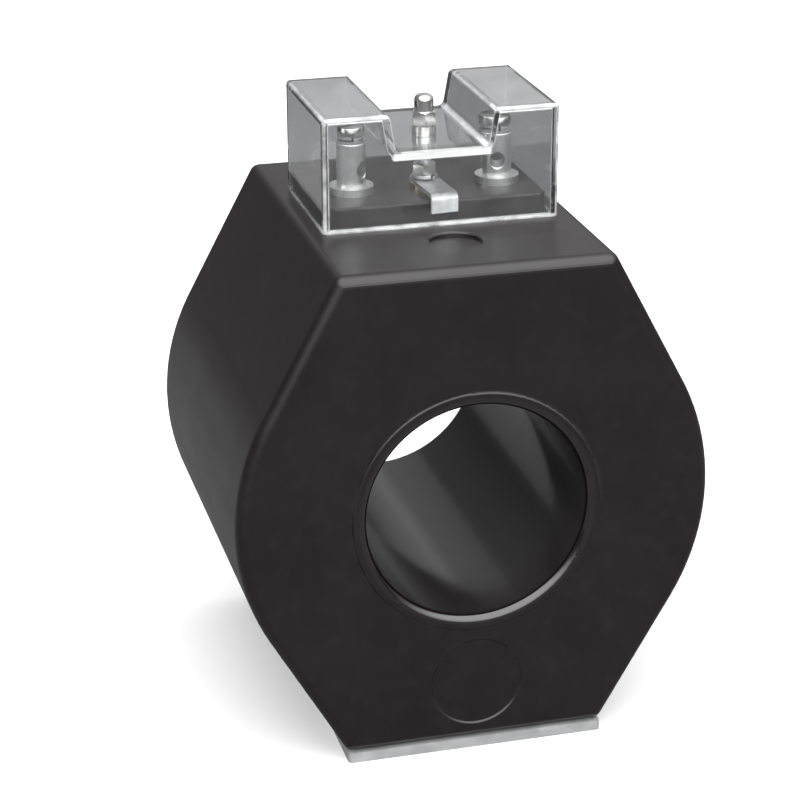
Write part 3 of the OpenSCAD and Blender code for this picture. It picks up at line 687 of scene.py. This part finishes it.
def thread_radius(z, share):
    """Radius of a right-hand thread at a height and a share of a turn."""
    slope = abs(2 * ((z / THREAD_PITCH - share) % 1.0) - 1)
    cut = (slope - THREAD_CREST) / (1 - THREAD_CREST - THREAD_ROOT)
    return THREAD_R - THREAD_DEPTH * min(1.0, max(0.0, cut))


def threaded_rings(low, high, chamfer_top):
    """Rings of a threaded rod, chamfered below and perhaps above: (height, radius at each step around)."""
    count = round((high - low) / THREAD_PITCH * ROWS_PER_PITCH)
    rings = []
    for i in range(count + 1):
        z = low + (high - low) * i / count
        above = high - z if chamfer_top else END_CHAMFER
        most = THREAD_R - END_CHAMFER + min(END_CHAMFER, z - low, above)
        rings.append((z, [min(most, thread_radius(z, k / AROUND)) for k in range(AROUND)]))
    return rings


def plain_ring(z, radius):
    return z, [radius] * AROUND


def lathe(name, x, y, rings):
    """A closed solid about an upright axis through x, y."""
    shape = bmesh.new()
    turns = [2 * math.pi * k / AROUND for k in range(AROUND)]
    loops = []
    for z, radii in rings:
        loops.append([
            shape.verts.new((x + r * math.cos(a), y + r * math.sin(a), z)) for r, a in zip(radii, turns)
        ])
    for low, high in zip(loops, loops[1:]):
        for k in range(AROUND):
            shape.faces.new((low[k - 1], low[k], high[k], high[k - 1]))
    shape.faces.new(loops[0][::-1])
    shape.faces.new(loops[-1])
    return finished(name, shape)


def finished(name, shape):
    data = bpy.data.meshes.new(name)
    shape.to_mesh(data)
    shape.free()
    data.shade_smooth()
    data.set_sharp_from_angle(angle=SHARP_ANGLE)
    return data


def less(data, tool_data):
    """The first mesh with the second cut out of it."""
    solid, tool = add_object("solid", data), add_object("tool", tool_data)
    cutting = solid.modifiers.new("cut", "BOOLEAN")
    cutting.operation, cutting.solver, cutting.object = "DIFFERENCE", "EXACT", tool
    seen = solid.evaluated_get(bpy.context.evaluated_depsgraph_get())
    made = bpy.data.meshes.new_from_object(seen)
    made.name = data.name
    for spare in (solid, tool):
        mesh = spare.data
        bpy.data.objects.remove(spare)
        bpy.data.meshes.remove(mesh)
    made.set_sharp_from_angle(angle=SHARP_ANGLE)
    return made


def slot_tool(x, y, top, reach, turn):
    shape = bmesh.new()
    bmesh.ops.create_cube(shape, size=1.0)
    size = Matrix.Diagonal((2 * reach, SLOT_WIDTH, 2 * SLOT_DEPTH, 1))
    shape.transform(Matrix.Translation((x, y, top)) @ Matrix.Rotation(turn, 4, "Z") @ size)
    return finished("slot", shape)


def threaded_stud(name, node):
    low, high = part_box(node)
    middle = (low + high) / 2
    return lathe(name, middle.x, middle.y, threaded_rings(low.z, high.z, True))


def slotted_screw(name, node, head_foot, turn):
    """A threaded shank under a round head with a chamfered rim and a slot across it."""
    low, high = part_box(node)
    middle = (low + high) / 2
    head_r = (high.x - low.x) / 2
    rings = threaded_rings(low.z, head_foot - THREAD_PITCH / 2, False)
    rings += [
        plain_ring(head_foot, THREAD_R - THREAD_DEPTH / 2),
        plain_ring(head_foot, head_r - HEAD_CHAMFER),
        plain_ring(head_foot + HEAD_CHAMFER, head_r),
        plain_ring(high.z - END_CHAMFER, head_r),
        plain_ring(high.z - 0.35 * END_CHAMFER, head_r - 0.35 * END_CHAMFER),
        plain_ring(high.z, head_r - END_CHAMFER),
    ]
    solid = lathe(name, middle.x, middle.y, rings)
    return less(solid, slot_tool(middle.x, middle.y, high.z, 2 * head_r, turn))


def split_spring(name, node, split_at):
    """A spring washer: a square wire bent once round, its ends standing apart."""
    low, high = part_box(node)
    middle = (low + high) / 2
    outer = (high.x - low.x) / 2
    inner = THREAD_R + CLEAR_OF_THREAD
    half_w, half_t, c = (outer - inner) / 2, SPRING_WIRE / 2, SPRING_CHAMFER
    section = [
        (half_w, c - half_t), (half_w, half_t - c), (half_w - c, half_t), (c - half_w, half_t),
        (-half_w, half_t - c), (-half_w, c - half_t), (c - half_w, -half_t), (half_w - c, -half_t),
    ]
    rise = high.z - low.z - SPRING_WIRE
    start = split_at + (2 * math.pi - SPRING_SWEEP) / 2
    shape = bmesh.new()
    loops = []
    for i in range(SPRING_STEPS + 1):
        share = i / SPRING_STEPS
        a = start + SPRING_SWEEP * share
        z = low.z + half_t + rise * share
        loops.append([
            shape.verts.new((
                middle.x + (inner + half_w + across) * math.cos(a),
                middle.y + (inner + half_w + across) * math.sin(a),
                z + up,
            ))
            for across, up in section
        ])
    for before, after in zip(loops, loops[1:]):
        for k in range(len(section)):
            shape.faces.new((before[k], before[k - 1], after[k - 1], after[k]))
    shape.faces.new(loops[0])
    shape.faces.new(loops[-1][::-1])
    bmesh.ops.recalc_face_normals(shape, faces=shape.faces)
    return finished(name, shape)


def place_piece(data, node, finishes):
    """Puts a detailed piece in a CAD node's stead, on the same body and with the same finish."""
    slot = next(part["material_slot"] for part in frame["record"]["subparts"] if part["node"] == node)
    body = next(name for name, members in frame["record"]["behaviour"]["bodies"].items() if node in members)
    piece = add_object(data.name, data)
    data.materials.clear()
    data.materials.append(finishes[slot])
    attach(piece, body)
    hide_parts(node)


def make_fasteners(finishes):
    place_piece(threaded_stud("stud_thread", "centre_stud"), "centre_stud", finishes)
    place_piece(split_spring("link_spring_coil", "link_spring", LINK_SPRING_SPLIT), "link_spring", finishes)
    for side, turn in SLOT_TURNS.items():
        head_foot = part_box("clamp_spring_" + side)[1].z
        screw = slotted_screw("slotted_screw_" + side, "clamp_screw_" + side, head_foot, math.radians(turn))
        place_piece(screw, "clamp_screw_" + side, finishes)
        spring = split_spring("clamp_coil_" + side, "clamp_spring_" + side, CLAMP_SPRING_SPLIT)
        place_piece(spring, "clamp_spring_" + side, finishes)


make_camera()
make_room()
finishes = make_finishes()
paint_nodes(finishes)
make_fasteners(finishes)
